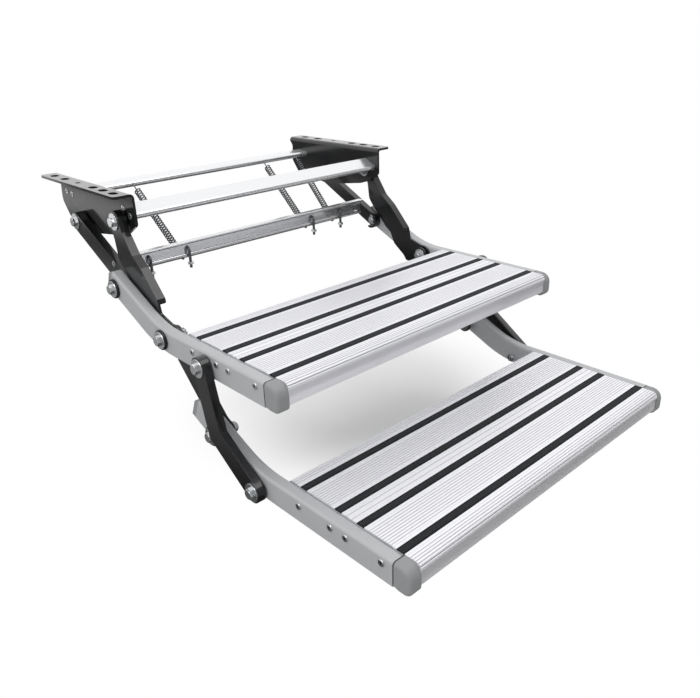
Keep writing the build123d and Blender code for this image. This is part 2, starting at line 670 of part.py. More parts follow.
# Bolts of the rear links in the upper rails: the rail holds head and shank, the link holds the threaded end
shank_end = TREAD_HALF + SPLIT_GAP
bolt = bolt_head(seat + ZINC_T, REAR_LOW) + rod(shank_end, seat + ZINC_T, REAR_LOW, BOLT_R)
save_pair("rear_link_bolts", [bolt])
web_face = LINK_OUT - LINK_T
nut_out = web_face - ZINC_T
stud = rod(nut_out - NUT_T - BOLT_TAIL, LINK_OUT, REAR_LOW, BOLT_R) + nut(nut_out - NUT_T, nut_out, REAR_LOW)
save_pair("rear_link_nuts", [stud, ring(nut_out, web_face, REAR_LOW, BACK_WASHER_R, BOLT_R)])

# The same at the lower end of the inner arms, with a spacer tube between arm and rail
bolt = bolt_head(seat + ZINC_T, INNER_LOW) + rod(shank_end, seat + ZINC_T, INNER_LOW, BOLT_R)
save_pair("inner_arm_bolts", [bolt])
arm_face = INNER_ARM_IN + INNER_ARM_T
nut_out = INNER_ARM_IN - ZINC_T
stud = rod(nut_out - NUT_T - BOLT_TAIL, TREAD_HALF - SPLIT_GAP, INNER_LOW, BOLT_R)
stud = stud + nut(nut_out - NUT_T, nut_out, INNER_LOW)
save_pair("inner_arm_nuts", [stud, ring(nut_out, INNER_ARM_IN, INNER_LOW, BACK_WASHER_R, BOLT_R)])
save_pair("inner_arm_spacers", [ring(arm_face, TREAD_HALF - SPLIT_GAP, INNER_LOW, BUSH_R, BOLT_R)])


def washer_pair(centre):
    black = ring(RAIL_OUT, RAIL_OUT + BLACK_T, centre, BLACK_R, BOLT_R)
    zinc = ring(RAIL_OUT + BLACK_T, RAIL_OUT + BLACK_T + ZINC_T, centre, ZINC_R, BOLT_R)
    return black, zinc


def arm_fittings(centre):
    """Bolt, washer, nut, bush and bearing washer where an outer arm turns on a rail."""
    head_seat = OUTER_ARM_OUT + RUN_GAP + ZINC_T
    shank = rod(TREAD_HALF - NUT_T - BOLT_TAIL, head_seat, centre, BOLT_R)
    bolt = bolt_head(head_seat, centre) + shank
    zinc = ring(OUTER_ARM_OUT + RUN_GAP, head_seat, centre, ZINC_R, BOLT_R)
    back_nut = nut(TREAD_HALF - NUT_T, TREAD_HALF, centre)
    bush = ring(RAIL_OUT + ARM_BEARING_T, OUTER_ARM_OUT - LINK_T - RUN_GAP, centre, BUSH_R, BOLT_R)
    bearing = ring(RAIL_OUT, RAIL_OUT + ARM_BEARING_T, centre, ARM_BEARING_R, BOLT_R)
    return bolt, zinc, back_nut, bush, bearing


for name, arm_pivot, rail_pivots in (("upper", ARM_TOP, (FRONT_LOW, REAR_LOW)), ("lower", ARM_LOW, (INNER_LOW,))):
    bolt, zinc, back_nut, bush, bearing = arm_fittings(arm_pivot)
    stacks = [washer_pair(p) for p in rail_pivots]
    backs = [middle_back_washer] if name == "upper" else []
    save_pair(name + "_arm_bolts", [bolt])
    save_pair(name + "_arm_nuts", [back_nut])
    save_pair(name + "_arm_bushes", [bush])
    save_pair(name + "_zinc_washers", [zinc] + [s[1] for s in stacks] + backs)
    save_pair(name + "_bearing_washers", [bearing] + [s[0] for s in stacks])


# Middle bar and its hooks

def middle_bar():
    """Open section: a bead at the foot, a thin web, a lip at the top and a screw channel behind the web."""
    bead = disc(MIDDLE_BAR, MIDDLE_BEAD_R)
    top = MIDDLE_BAR[1] + MIDDLE_TALL
    web_mid = MIDDLE_BAR[1] + MIDDLE_TALL / 2
    web = Pos(MIDDLE_BAR[0], web_mid) * Rectangle(MIDDLE_WEB_T, MIDDLE_TALL)
    lip = Pos(MIDDLE_BAR[0] - MIDDLE_LIP / 2, top - MIDDLE_WEB_T / 2) * Rectangle(MIDDLE_LIP, MIDDLE_WEB_T)
    roll = disc((MIDDLE_BAR[0] - MIDDLE_LIP, top - MIDDLE_WEB_T), MIDDLE_WEB_T)
    channel = disc(MIDDLE_SCREW, 2 * SCREW_R)
    section = bead + web + lip + roll + channel - disc(MIDDLE_SCREW, SCREW_R)
    body = slab(section, -LINK_IN, LINK_IN)
    reach = MIDDLE_SCREW_OFFSET[0] + 2 * SCREW_R
    for x in HOOK_PLACES:
        bore = Rot(90, 0, 0) * Cylinder(HOOK_R + BOLT_FIT, 2 * (reach + HOOK_FIT))
        body -= Pos(x, MIDDLE_BAR[0], HOOK_LEVEL) * bore
    return body


def spring_hook(x):
    """Bent bolt: an eye that hangs behind the bar, a shank through the web, a tail down in front of the bead."""
    start = Vector(x, HOOK_EYE[0], HOOK_EYE[1] + HOOK_EYE_R)
    rear = Vector(x, HOOK_EYE[0], HOOK_LEVEL - HOOK_BEND_R)
    rear_turn = Vector(x, HOOK_EYE[0] - HOOK_BEND_R, HOOK_LEVEL)
    corner = Vector(x, HOOK_FRONT + HOOK_BEND_R, HOOK_LEVEL)
    turn = Vector(x, HOOK_FRONT, HOOK_LEVEL - HOOK_BEND_R)
    tip = Vector(x, HOOK_FRONT, MIDDLE_BAR[1] - MIDDLE_BEAD_R - HOOK_TIP)
    path = Line(start, rear) + TangentArc(rear, rear_turn, tangent=(0, 0, 1)) + Line(rear_turn, corner)
    path += TangentArc(corner, turn, tangent=(0, -1, 0)) + Line(turn, tip)
    shank = sweep(Plane(origin=start, z_dir=(0, 0, 1)) * Circle(HOOK_R), path=path)
    eye = Pos(x, HOOK_EYE[0], HOOK_EYE[1]) * Rot(0, 90, 0) * Torus(HOOK_EYE_R, EYE_WIRE_R)
    return shank + eye


def hook_nut(x):
    low = MIDDLE_BAR[1] - MIDDLE_BEAD_R - (HOOK_TIP + HOOK_NUT_T) / 2
    ring_face = RegularPolygon(HOOK_NUT_ACROSS / 2, 6, major_radius=False) - Circle(HOOK_R)
    return extrude(Pos(x, HOOK_FRONT, low) * ring_face, amount=HOOK_NUT_T)


save("middle_bar", [middle_bar()])
sunk = LINK_OUT - FLAT_HEAD_T
save_pair("middle_bar_screws", [pan_screw(sunk, MIDDLE_SCREW, LINK_DEEP + SCREW_BITE, FLAT_HEAD_T)])
save("spring_hooks", [spring_hook(x) for x in HOOK_PLACES])
save("spring_hook_nuts", [hook_nut(x) for x in HOOK_PLACES])


# Springs

def biarc(p0, t0, p1, t1):
    """Two tangent arcs between two points with given directions."""
    chord = p1 - p0
    both = t0 + t1
    a = 2 * (1 - t0.dot(t1))
    b = chord.dot(both)
    reach = (-b + math.sqrt(b * b + a * chord.dot(chord))) / a
    joint = (p0 + t0 * reach + p1 - t1 * reach) * 0.5
    middle = ((p1 - t1 * reach) - (p0 + t0 * reach)).normalized()
    return [Edge.make_tangent_arc(p0, t0, joint), Edge.make_tangent_arc(joint, middle, p1)]


def coil_point(angle, origin, way, side, up):
    """Point and direction of the coil's middle line after so many degrees."""
    a = math.radians(angle)
    rise = COIL_PITCH / (2 * math.pi)
    point = origin + side * (COIL_R * math.cos(a)) + up * (COIL_R * math.sin(a)) + way * (rise * a)
    along_coil = up * (COIL_R * math.cos(a)) - side * (COIL_R * math.sin(a)) + way * rise
    return point, along_coil.normalized()


def spring(x, hook_x):
    """One unbroken wire: straight end, coil, straight end, from the rear bar to the hook's eye."""
    start, stop, way = spring_line(x, hook_x)
    up = way.cross(Vector(1, 0, 0)).normalized()
    side = up.cross(way)
    first = start - way * SPRING_SINK
    last = stop - way * (HOOK_EYE_R + EYE_WIRE_R + SPRING_FIT)
    body_length = COIL_TURNS * COIL_PITCH
    coil_from = start + way * COIL_START
    p, t = coil_point(0, coil_from, way, side, up)
    run_in = coil_from - way * COIL_LEAD
    edges = [Edge.make_line(first, run_in)] + biarc(run_in, way, p, t)
    for step in range(2 * COIL_TURNS):
        q, u = coil_point(180 * (step + 1), coil_from, way, side, up)
        edges += biarc(p, t, q, u)
        p, t = q, u
    run_out = coil_from + way * (body_length + COIL_LEAD)
    edges += biarc(p, t, run_out, way)
    edges.append(Edge.make_line(run_out, last))
    section = Plane(origin=first, z_dir=way) * Circle(WIRE_R)
    return sweep(section, path=Wire(edges)), edges


def least_gap(edges):
    """Least clear distance between turns of the wire, measured on points of its middle line."""
    points = [e.position_at(k / 6) for e in edges for k in range(6)]
    travelled = [0.0]
    for a, b in zip(points, points[1:]):
        travelled.append(travelled[-1] + (b - a).length)
    least = math.inf
    for i, a in enumerate(points):
        for j in range(i + 1, len(points)):
            if travelled[j] - travelled[i] > 3 * COIL_R:
                least = min(least, (points[j] - a).length)
                if travelled[j] - travelled[i] > 12 * COIL_R:
                    break
    return least - 2 * WIRE_R


for number, (x, hook_x) in enumerate(zip(SPRING_PLACES, HOOK_PLACES), start=1):
    wire, wire_edges = spring(x, hook_x)
    save("spring_" + str(number), [wire])
    print("spring", number, "least gap between turns", round(least_gap(wire_edges), 2), "mm")
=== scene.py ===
import json
import math

import bmesh
import bpy
from bpy.props import FloatProperty, FloatVectorProperty, IntProperty, PointerProperty
from mathutils import Matrix, Vector


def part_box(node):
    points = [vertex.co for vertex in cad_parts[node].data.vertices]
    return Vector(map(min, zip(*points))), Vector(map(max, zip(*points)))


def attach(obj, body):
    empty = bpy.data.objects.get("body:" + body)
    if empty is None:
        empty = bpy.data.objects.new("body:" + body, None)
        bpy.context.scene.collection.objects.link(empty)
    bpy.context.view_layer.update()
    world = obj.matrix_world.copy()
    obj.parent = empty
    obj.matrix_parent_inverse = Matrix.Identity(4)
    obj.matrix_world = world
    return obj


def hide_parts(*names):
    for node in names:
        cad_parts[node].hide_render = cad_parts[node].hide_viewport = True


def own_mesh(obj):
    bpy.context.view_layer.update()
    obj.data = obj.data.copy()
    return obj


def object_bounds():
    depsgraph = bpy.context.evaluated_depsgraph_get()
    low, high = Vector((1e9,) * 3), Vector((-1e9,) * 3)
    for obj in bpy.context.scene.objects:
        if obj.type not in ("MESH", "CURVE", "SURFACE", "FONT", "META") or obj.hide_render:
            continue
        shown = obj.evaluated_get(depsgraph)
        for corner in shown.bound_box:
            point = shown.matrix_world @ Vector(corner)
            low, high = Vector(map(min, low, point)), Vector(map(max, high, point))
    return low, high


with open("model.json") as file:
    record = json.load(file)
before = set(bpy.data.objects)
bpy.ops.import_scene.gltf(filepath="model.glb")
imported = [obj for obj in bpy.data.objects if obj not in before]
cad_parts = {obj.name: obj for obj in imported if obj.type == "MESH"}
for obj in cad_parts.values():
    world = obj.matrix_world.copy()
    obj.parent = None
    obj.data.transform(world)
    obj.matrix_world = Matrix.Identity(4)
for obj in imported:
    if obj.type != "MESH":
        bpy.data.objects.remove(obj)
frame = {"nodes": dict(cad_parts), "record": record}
CAD_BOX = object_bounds()

bl_info = {
    "name": "Camper Entry Step",
    "version": (1, 0, 0),
    "blender": (4, 5, 0),
    "location": "View3D > Sidebar > Entry Step",
    "description": "Finishes the pieces of a folding double entry step around its packed frame",
    "category": "Object",
}

MM = 0.001

# Meshes of the frame are loose triangles: corners nearer than this are one corner, and flatter edges vanish
MERGE_DISTANCE = 0.005 * MM
FLAT_ANGLE = math.radians(0.5)
SHARP_ANGLE = math.radians(28.0)


def linear(code):
    """Linear colour of an sRGB hex value."""
    channels = [int(code[i:i + 2], 16) / 255 for i in (1, 3, 5)]
    return tuple(c / 12.92 if c <= 0.04045 else ((c + 0.055) / 1.055) ** 2.4 for c in channels)


def colour_property(name, description, code):
    """A colour for the panel, from an sRGB hex value."""
    return FloatVectorProperty(name=name, description=description, subtype="COLOR", size=3,
                               min=0.0, max=1.0, default=linear(code))


def size_property(name, description, millimetres):
    """A length for the panel, from millimetres."""
    return FloatProperty(name=name, description=description, unit="LENGTH", subtype="DISTANCE", min=0.0,
                         default=millimetres * MM)


class StepSizes(bpy.types.PropertyGroup):
    """Sizes of what is dressed around the frame."""
    sheet_edge: size_property("Sheet edge", "Rounding of the sheared edges of pressed steel", 0.7)
    rail_edge: size_property("Rail edge", "Rounding of the edges of the rails' cut ends", 0.4)
    cap_edge: size_property("Cap edge", "Rounding of the moulded caps' seam edge", 0.5)
    fastener_edge: size_property("Fastener edge", "Rounding of bolt heads, nuts and washers", 0.35)
    bar_edge: size_property("Bar edge", "Rounding of the cross bars' cut ends", 0.3)
    nose_radius: size_property("Nose radius", "Radius of the planks' rounded edge", 8.0)
    groove_deep: size_property("Groove depth", "Depth of the grooves between a plank's ribs", 0.6)
    strip_ridges: IntProperty(name="Strip ridges", description="Ridges along a strip", min=1, default=5)
    strip_ridge_deep: size_property("Ridge depth", "Depth of the valleys between a strip's ridges", 0.45)
    wire_radius: size_property("Spring wire radius", "Half the thickness of the springs' wire", 1.1)
    coil_radius: size_property("Coil radius", "Radius of the springs' coil at the wire's middle", 5.2)
    coil_pitch: size_property("Coil pitch", "Rise of the springs' coil in one turn", 4.9)
    coil_turns: IntProperty(name="Coil turns", description="Turns of a spring, an even number", min=2,
                            default=26)
    coil_start: size_property("Coil start", "Straight wire between the rear bar and the coil", 14.0)
    lead_bend: size_property("Lead bend", "Bend radius where a coil's end turns onto its middle line", 2.0)
    loop_radius: size_property("Loop radius", "Radius of the loop round a hook's eye", 3.3)


class StepColours(bpy.types.PropertyGroup):
    """Colours of the finishes."""
    coat: colour_property("Black coat", "Powder coat of the brackets, links and arms", "#0C0D0F")
    nylon: colour_property("Black nylon", "Bearing washers and bushes", "#101113")
    rubber: colour_property("Rubber", "Grip strips", "#131416")
    rail: colour_property("Rail paint", "Satin grey paint of the side rails", "#AAACAE")
    cap: colour_property("Cap plastic", "Moulded caps and plugs of the rails", "#8B8C8D")
    tread: colour_property("Tread anodising", "Natural anodised planks", "#EDEDF1")
    bar: colour_property("Bar aluminium", "Satin aluminium of the cross bars", "#F2F3F5")
    wire: colour_property("Spring wire", "Plated wire of springs and hooks", "#7C7E82")
    zinc: colour_property("Zinc plate", "Bolts, nuts, washers and screws", "#E2E4E6")
    floor: colour_property("Floor", "Pale floor and backdrop", "#E4E4E4")


def sizes():
    """The scene's sizes."""
    return bpy.context.scene.step_sizes


def colours():
    """The scene's colours."""
    return bpy.context.scene.step_colours


# Materials

def add_node(tree, kind, settings=None, links=None):
    """Adds a node, sets its values or sockets by name, and links its sockets to outputs of other nodes."""
    node = tree.nodes.new(kind)
    for key, value in (settings or {}).items():
        if hasattr(node, key):
            setattr(node, key, value)
        else:
            node.inputs[key].default_value = value
    for key, output in (links or {}).items():
        tree.links.new(output, node.inputs[key])
    return node


def feed(tree, socket, value):
    """Sets a socket to a number, or links another node's output to it."""
    if isinstance(value, (int, float)):
        socket.default_value = value
    else:
        tree.links.new(value, socket)


def combine(tree, operation, first, second):
    """Result of a calculation with two outputs or numbers."""
    node = add_node(tree, "ShaderNodeMath", {"operation": operation})
    for socket, value in zip(node.inputs, (first, second)):
        feed(tree, socket, value)
    return node.outputs["Value"]


# Places of the mix node's sockets: the factor, its two numbers and their result, its two colours and theirs
MIX_FACTOR = 0
MIX_NUMBERS = (2, 3)
MIX_NUMBER_OUT = 0
MIX_COLOURS = (6, 7)
MIX_COLOUR_OUT = 2


def mixed(tree, factor, first, second):
    """A number that runs from the first to the second as the factor runs from 0 to 1."""
    mix = add_node(tree, "ShaderNodeMix", {"data_type": "FLOAT"})
    tree.links.new(factor, mix.inputs[MIX_FACTOR])
    for place, value in zip(MIX_NUMBERS, (first, second)):
        feed(tree, mix.inputs[place], value)
    return mix.outputs[MIX_NUMBER_OUT]


def finish_base(name, colour, metallic, roughness):
    """A material with one principled shader, and the object coordinates in metres for its patterns."""
    material = bpy.data.materials.new(name)
    material.use_nodes = True
    tree = material.node_tree
    shader = tree.nodes["Principled BSDF"]
    shader.inputs["Base Color"].default_value = (*colour, 1.0)
    shader.inputs["Metallic"].default_value = metallic
    shader.inputs["Roughness"].default_value = roughness
    place = add_node(tree, "ShaderNodeTexCoord").outputs["Object"]
    return material, tree, shader, place


def stretched(tree, place, along_x):
    """Coordinates that run slowly along X, for marks drawn out along an extrusion."""
    mapping = add_node(tree, "ShaderNodeMapping", {"Scale": (along_x, 1.0, 1.0)}, {"Vector": place})
    return mapping.outputs["Vector"]


def grain(tree, place, size_mm, detail=2.0):
    """Noise whose grains measure about size_mm across."""
    settings = {"Scale": 1.0 / (size_mm * MM), "Detail": detail}
    return add_node(tree, "ShaderNodeTexNoise", settings, {"Vector": place}).outputs["Fac"]


# Noise rarely leaves this range
NOISE_LOW = 0.3
NOISE_HIGH = 0.7


def vary(tree, factor, low, high):
    """A value that runs from low to high with a noise's middle range."""
    settings = {"From Min": NOISE_LOW, "From Max": NOISE_HIGH, "To Min": low, "To Max": high}
    return add_node(tree, "ShaderNodeMapRange", settings, {"Value": factor}).outputs["Result"]


def vary_roughness(tree, shader, pattern, low, high):
    """Lets the roughness run from low to high with a pattern."""
    tree.links.new(vary(tree, pattern, low, high), shader.inputs["Roughness"])


def relief(tree, shader, height, deep_mm):
    """Raises a pattern by up to deep_mm in the shading."""
    bump = add_node(tree, "ShaderNodeBump", {"Strength": 1.0, "Distance": deep_mm * MM}, {"Height": height})
    tree.links.new(bump.outputs["Normal"], shader.inputs["Normal"])


def tinted(tree, shader, factor, colour, change):
    """Mixes the colour with a lighter or darker one by a factor."""
    other = tuple(min(1.0, c * change) for c in colour)
    mix = add_node(tree, "ShaderNodeMix", {"data_type": "RGBA"})
    for place, shade in zip(MIX_COLOURS, (colour, other)):
        mix.inputs[place].default_value = (*shade, 1.0)
    tree.links.new(factor, mix.inputs[MIX_FACTOR])
    tree.links.new(mix.outputs[MIX_COLOUR_OUT], shader.inputs["Base Color"])


def powder_coat():
    """Glossy black polyester powder coat on pressed steel: a deep clear skin with a faint orange peel."""
    colour = tuple(colours().coat)
    material, tree, shader, place = finish_base("black powder coat", colour, metallic=0.0, roughness=0.35)
    shader.inputs["Specular IOR Level"].default_value = 0.25
    shader.inputs["Coat Weight"].default_value = 1.0
    shader.inputs["Coat IOR"].default_value = 1.45
    shader.inputs["Coat Roughness"].default_value = 0.1
    vary_roughness(tree, shader, grain(tree, place, size_mm=18.0), low=0.3, high=0.42)
    clouds = vary(tree, grain(tree, place, size_mm=45.0), low=0.0, high=1.0)
    tinted(tree, shader, clouds, colour, change=1.3)
    relief(tree, shader, grain(tree, place, size_mm=2.2, detail=1.0), deep_mm=0.02)
    return material


def moulded_nylon():
    """Black glass-filled nylon, moulded: matt, with a fine spark-eroded grain."""
    colour = tuple(colours().nylon)
    material, tree, shader, place = finish_base("black moulded nylon", colour, metallic=0.0, roughness=0.45)
    relief(tree, shader, grain(tree, place, size_mm=0.8), deep_mm=0.02)
    vary_roughness(tree, shader, grain(tree, place, size_mm=6.0), low=0.4, high=0.52)
    return material


# Share of a grip strip's width, in its middle, that is scuffed paler, and the attribute that says where
# The edges outside that share stay black as painted shade
UNSHADED_WORN_SHARE = 0.6
WEAR_AND_EDGE_SHADE_LAYER = "wear_and_edge_shade"


def extruded_rubber():
    """Extruded EPDM with a gritty tread: deep black at its edges as painted shade, paler and dusty on its
    middle ridges.
    """
    colour = tuple(colours().rubber)
    material, tree, shader, place = finish_base("extruded black rubber", colour, metallic=0.0,
                                                roughness=0.6)
    shader.inputs["Specular IOR Level"].default_value = 0.2
    wear_and_edge_shade = add_node(tree, "ShaderNodeAttribute", {"attribute_name": WEAR_AND_EDGE_SHADE_LAYER}).outputs["Fac"]
    grit = vary(tree, grain(tree, place, size_mm=1.6, detail=3.0), low=0.15, high=1.0)
    # Paler, gritty middle; the edges keep the black as painted shade
    tinted(tree, shader, combine(tree, "MULTIPLY", wear_and_edge_shade, grit), colour, change=4.2)
    vary_roughness(tree, shader, grain(tree, place, size_mm=1.2), low=0.52, high=0.7)
    relief(tree, shader, grain(tree, place, size_mm=0.9, detail=3.0), deep_mm=0.12)
    return material


def satin_rail_paint():
    """Satin grey stoving paint on aluminium: soft highlights and a very fine texture."""
    colour = tuple(colours().rail)
    material, tree, shader, place = finish_base("satin grey paint", colour, metallic=0.0, roughness=0.42)
    shader.inputs["Specular IOR Level"].default_value = 0.8
    vary_roughness(tree, shader, grain(tree, place, size_mm=9.0), low=0.3, high=0.4)
    clouds = vary(tree, grain(tree, place, size_mm=60.0), low=0.0, high=1.0)
    tinted(tree, shader, clouds, colour, change=0.96)
    relief(tree, shader, grain(tree, place, size_mm=1.1), deep_mm=0.015)
    return material


# Attribute that is 1 at a rail's end and falls by the metres from it. The painted shade of the joint there
# fades out at
# SEAM_HALF, is darkest over the share SEAM_CORE of that, and leaves the share SEAM_SHADE of the colour.
SEAM_LAYER = "near_seam"
SEAM_HALF = 2.2 * MM
SEAM_CORE = 0.6
SEAM_SHADE = 0.12


def moulded_cap_plastic():
    """Grey ABS, moulded with a fine grain: a little duller than the paint beside it, with painted shade at
    its joint.
    """
    colour = tuple(colours().cap)
    material, tree, shader, place = finish_base("grey moulded ABS", colour, metallic=0.0, roughness=0.5)
    near = add_node(tree, "ShaderNodeAttribute", {"attribute_name": SEAM_LAYER}).outputs["Fac"]
    fade = {"From Min": 1.0 - SEAM_HALF, "From Max": 1.0 - SEAM_HALF * SEAM_CORE}
    joint = add_node(tree, "ShaderNodeMapRange", fade, {"Value": near}).outputs["Result"]
    # Painted shade in the joint where the cap meets the rail
    tinted(tree, shader, joint, colour, SEAM_SHADE)
    relief(tree, shader, grain(tree, place, size_mm=0.9, detail=3.0), deep_mm=0.03)
    vary_roughness(tree, shader, grain(tree, place, size_mm=5.0), low=0.46, high=0.56)
    return material


# Attribute that is 1 on the floor of a plank's grooves and of a screw's recess, where shade is painted, and
# the share of the colour that is left there
VALLEY_LAYER = "valley"
VALLEY_SHADE = 0.68
RECESS_SHADE = 0.03


def anodised_tread():
    """Natural anodised aluminium extrusion: pale and satin, with faint die lines and painted shade in its
    grooves.
    """
    colour = tuple(colours().tread)
    material, tree, shader, place = finish_base("natural anodised extrusion", colour, metallic=0.35,
                                                roughness=0.36)
    drawn = stretched(tree, place, along_x=0.01)
    vary_roughness(tree, shader, grain(tree, drawn, size_mm=1.6, detail=3.0), low=0.3, high=0.44)
    valley = add_node(tree, "ShaderNodeAttribute", {"attribute_name": VALLEY_LAYER}).outputs["Fac"]
    # Painted shade on the groove floors
    tinted(tree, shader, valley, colour, VALLEY_SHADE)
    relief(tree, shader, grain(tree, drawn, size_mm=0.6), deep_mm=0.005)
    return material


def satin_bar():
    """Satin aluminium of the cross bars, drawn along their length."""
    colour = tuple(colours().bar)
    material, tree, shader, place = finish_base("satin drawn aluminium", colour, metallic=0.85,
                                                roughness=0.28)
    drawn = stretched(tree, place, along_x=0.01)
    vary_roughness(tree, shader, grain(tree, drawn, size_mm=2.5), low=0.17, high=0.23)
    relief(tree, shader, grain(tree, drawn, size_mm=2.4, detail=1.0), deep_mm=0.001)
    return material


def plated_wire():
    """Drawn spring wire, zinc plated and dulled: darker and less mirror-like than the bolts."""
    colour = tuple(colours().wire)
    material, tree, shader, place = finish_base("plated spring wire", colour, metallic=1.0, roughness=0.34)
    vary_roughness(tree, shader, grain(tree, place, size_mm=1.5), low=0.28, high=0.42)
    clouds = vary(tree, grain(tree, place, size_mm=5.0), low=0.0, high=1.0)
    tinted(tree, shader, clouds, colour, change=0.8)
    return material


def bright_zinc():
    """Bright zinc plate on rolled and forged steel: clear reflections broken by faint handling marks."""
    colour = tuple(colours().zinc)
    material, tree, shader, place = finish_base("bright zinc plate", colour, metallic=0.93, roughness=0.15)
    vary_roughness(tree, shader, grain(tree, place, size_mm=1.8, detail=3.0), low=0.07, high=0.17)
    # Painted shade on the floor of the screws' cross recesses
    recess = add_node(tree, "ShaderNodeAttribute", {"attribute_name": VALLEY_LAYER}).outputs["Fac"]
    tinted(tree, shader, recess, colour, RECESS_SHADE)
    relief(tree, shader, grain(tree, place, size_mm=0.9), deep_mm=0.008)
    return material


MATERIAL_MAKERS = {
    "black_powder_coat": powder_coat,
    "black_nylon": moulded_nylon,
    "black_rubber": extruded_rubber,
    "grey_rail_paint": satin_rail_paint,
    "grey_plastic": moulded_cap_plastic,
    "anodised_tread": anodised_tread,
    "satin_aluminium": satin_bar,
    "spring_steel": plated_wire,
    "zinc_plate": bright_zinc,
}
# Material slot and moving body of each CAD node
NODE_SLOTS = {s["node"]: s["material_slot"] for s in frame["record"]["subparts"]}
NODE_BODIES = {n: body for body, members in frame["record"]["behaviour"]["bodies"].items() for n in members}
# Finishes made so far, by slot
made_materials = {}


def material_of(slot):
    """The finish of a material slot, made at its first use."""
    if slot not in made_materials:
        made_materials[slot] = MATERIAL_MAKERS[slot]()
    return made_materials[slot]


# Pieces

def new_piece(name, mesh_tools, slot, body, *nodes):
    """Turns a bmesh into a smooth-shaded piece with its finish, its body and the nodes it stands for."""
    mesh = bpy.data.meshes.new(name)
    mesh_tools.to_mesh(mesh)
    mesh_tools.free()
    mesh.shade_smooth()
    mesh.set_sharp_from_angle(angle=SHARP_ANGLE)
    piece = bpy.data.objects.new(name, mesh)
    bpy.context.scene.collection.objects.link(piece)
    mesh.materials.append(material_of(slot))
    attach(piece, body)
    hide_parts(*nodes)
    return piece


# Faces across a rounded edge
EDGE_SEGMENTS = 2


def dressed_copy(node, edge=0.0):
    """A copy of a CAD node with whole faces and rounded edges, which is shown in its place."""
    tools = bmesh.new()
    tools.from_mesh(frame["nodes"][node].data)
    bmesh.ops.remove_doubles(tools, verts=tools.verts, dist=MERGE_DISTANCE)
    bmesh.ops.dissolve_limit(tools, angle_limit=FLAT_ANGLE, verts=tools.verts, edges=tools.edges)
    piece = new_piece(node + "_dressed", tools, NODE_SLOTS[node], NODE_BODIES[node], node)
    if edge > 0:
        bevel = piece.modifiers.new("rounded edges", "BEVEL")
        bevel.width = edge
        bevel.segments = EDGE_SEGMENTS
        bevel.limit_method = "ANGLE"
        bevel.angle_limit = SHARP_ANGLE
        bevel.harden_normals = True
    return piece


def nodes_like(*endings):
    """Names of the frame's nodes that end in one of these words."""
    return [n for n in sorted(frame["nodes"]) if n.endswith(endings)]


def solid_boxes(node):
    """Lowest and highest corner of each separate solid in a CAD node."""
    tools = bmesh.new()
    tools.from_mesh(frame["nodes"][node].data)
    bmesh.ops.remove_doubles(tools, verts=tools.verts, dist=MERGE_DISTANCE)
    left = set(tools.verts)
    boxes = []
    while left:
        reached = [left.pop()]
        group = []
        while reached:
            corner = reached.pop()
            group.append(corner.co.copy())
            for edge in corner.link_edges:
                other = edge.other_vert(corner)
                if other in left:
                    left.remove(other)
                    reached.append(other)
        low = Vector([min(c[i] for c in group) for i in range(3)])
        high = Vector([max(c[i] for c in group) for i in range(3)])
        boxes.append((low, high))
    tools.free()
    return sorted(boxes, key=lambda box: (box[0].x, box[0].y))


class ENTRYSTEP_OT_brackets(bpy.types.Operator):
    """Dresses the two mounting brackets in black powder coat"""
    bl_idname = "entry_step.brackets"
    bl_label = "Brackets"

    def execute(self, context):
        for node in nodes_like("bracket_left", "bracket_right"):
            dressed_copy(node, sizes().sheet_edge)
        return {"FINISHED"}


class ENTRYSTEP_OT_links(bpy.types.Operator):
    """Dresses the links and arms of both linkages"""
    bl_idname = "entry_step.links"
    bl_label = "Links and arms"

    def execute(self, context):
        for node in nodes_like("link_left", "link_right", "arm_left", "arm_right"):
            dressed_copy(node, sizes().sheet_edge)
        return {"FINISHED"}


class ENTRYSTEP_OT_cross_bars(bpy.types.Operator):
    """Dresses the front crossbar, the rear spring bar and the middle bar"""
    bl_idname = "entry_step.cross_bars"
    bl_label = "Cross bars"

    def execute(self, context):
        for node in ("front_crossbar", "rear_spring_bar", "middle_bar"):
            dressed_copy(node, sizes().bar_edge)
        return {"FINISHED"}


def mark_seam(piece, seam_y):
    """Stores how near each corner of a cap lies to the rail's end, at seam_y."""
    near = piece.data.attributes.new(SEAM_LAYER, "FLOAT", "POINT")
    for vertex in piece.data.vertices:
        near.data[vertex.index].value = 1.0 - (seam_y - vertex.co.y)


class ENTRYSTEP_OT_rails(bpy.types.Operator):
    """Dresses the four side rails with their caps and plugs"""
    bl_idname = "entry_step.rails"
    bl_label = "Rails and caps"

    def execute(self, context):
        for node in nodes_like("rail_left", "rail_right"):
            dressed_copy(node, sizes().rail_edge)
        for node in nodes_like("rail_plugs"):
            dressed_copy(node, sizes().cap_edge)
        for node in nodes_like("rail_caps"):
            rail_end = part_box(node.replace("rail_caps", "rail_left"))[0].y
            mark_seam(dressed_copy(node, sizes().cap_edge), rail_end)
        return {"FINISHED"}


# Grooves nearer to a grip strip than this get no painted shade
UNSHADED_BAND = 6.5 * MM
# A corner lies on a groove's floor where its depth is between these shares of the grooves' depth
FLOOR_FROM = 0.5
FLOOR_UNTIL = 2.0


def groove_depth(corner, top, nose_y, outwards):
    """How deep a corner of a plank lies under its top, or under the curve of its nose."""
    radius = sizes().nose_radius
    past = (corner.y - nose_y) * outwards + radius
    if past <= 0:
        return top - corner.z
    return radius - math.hypot(past, corner.z - top + radius)


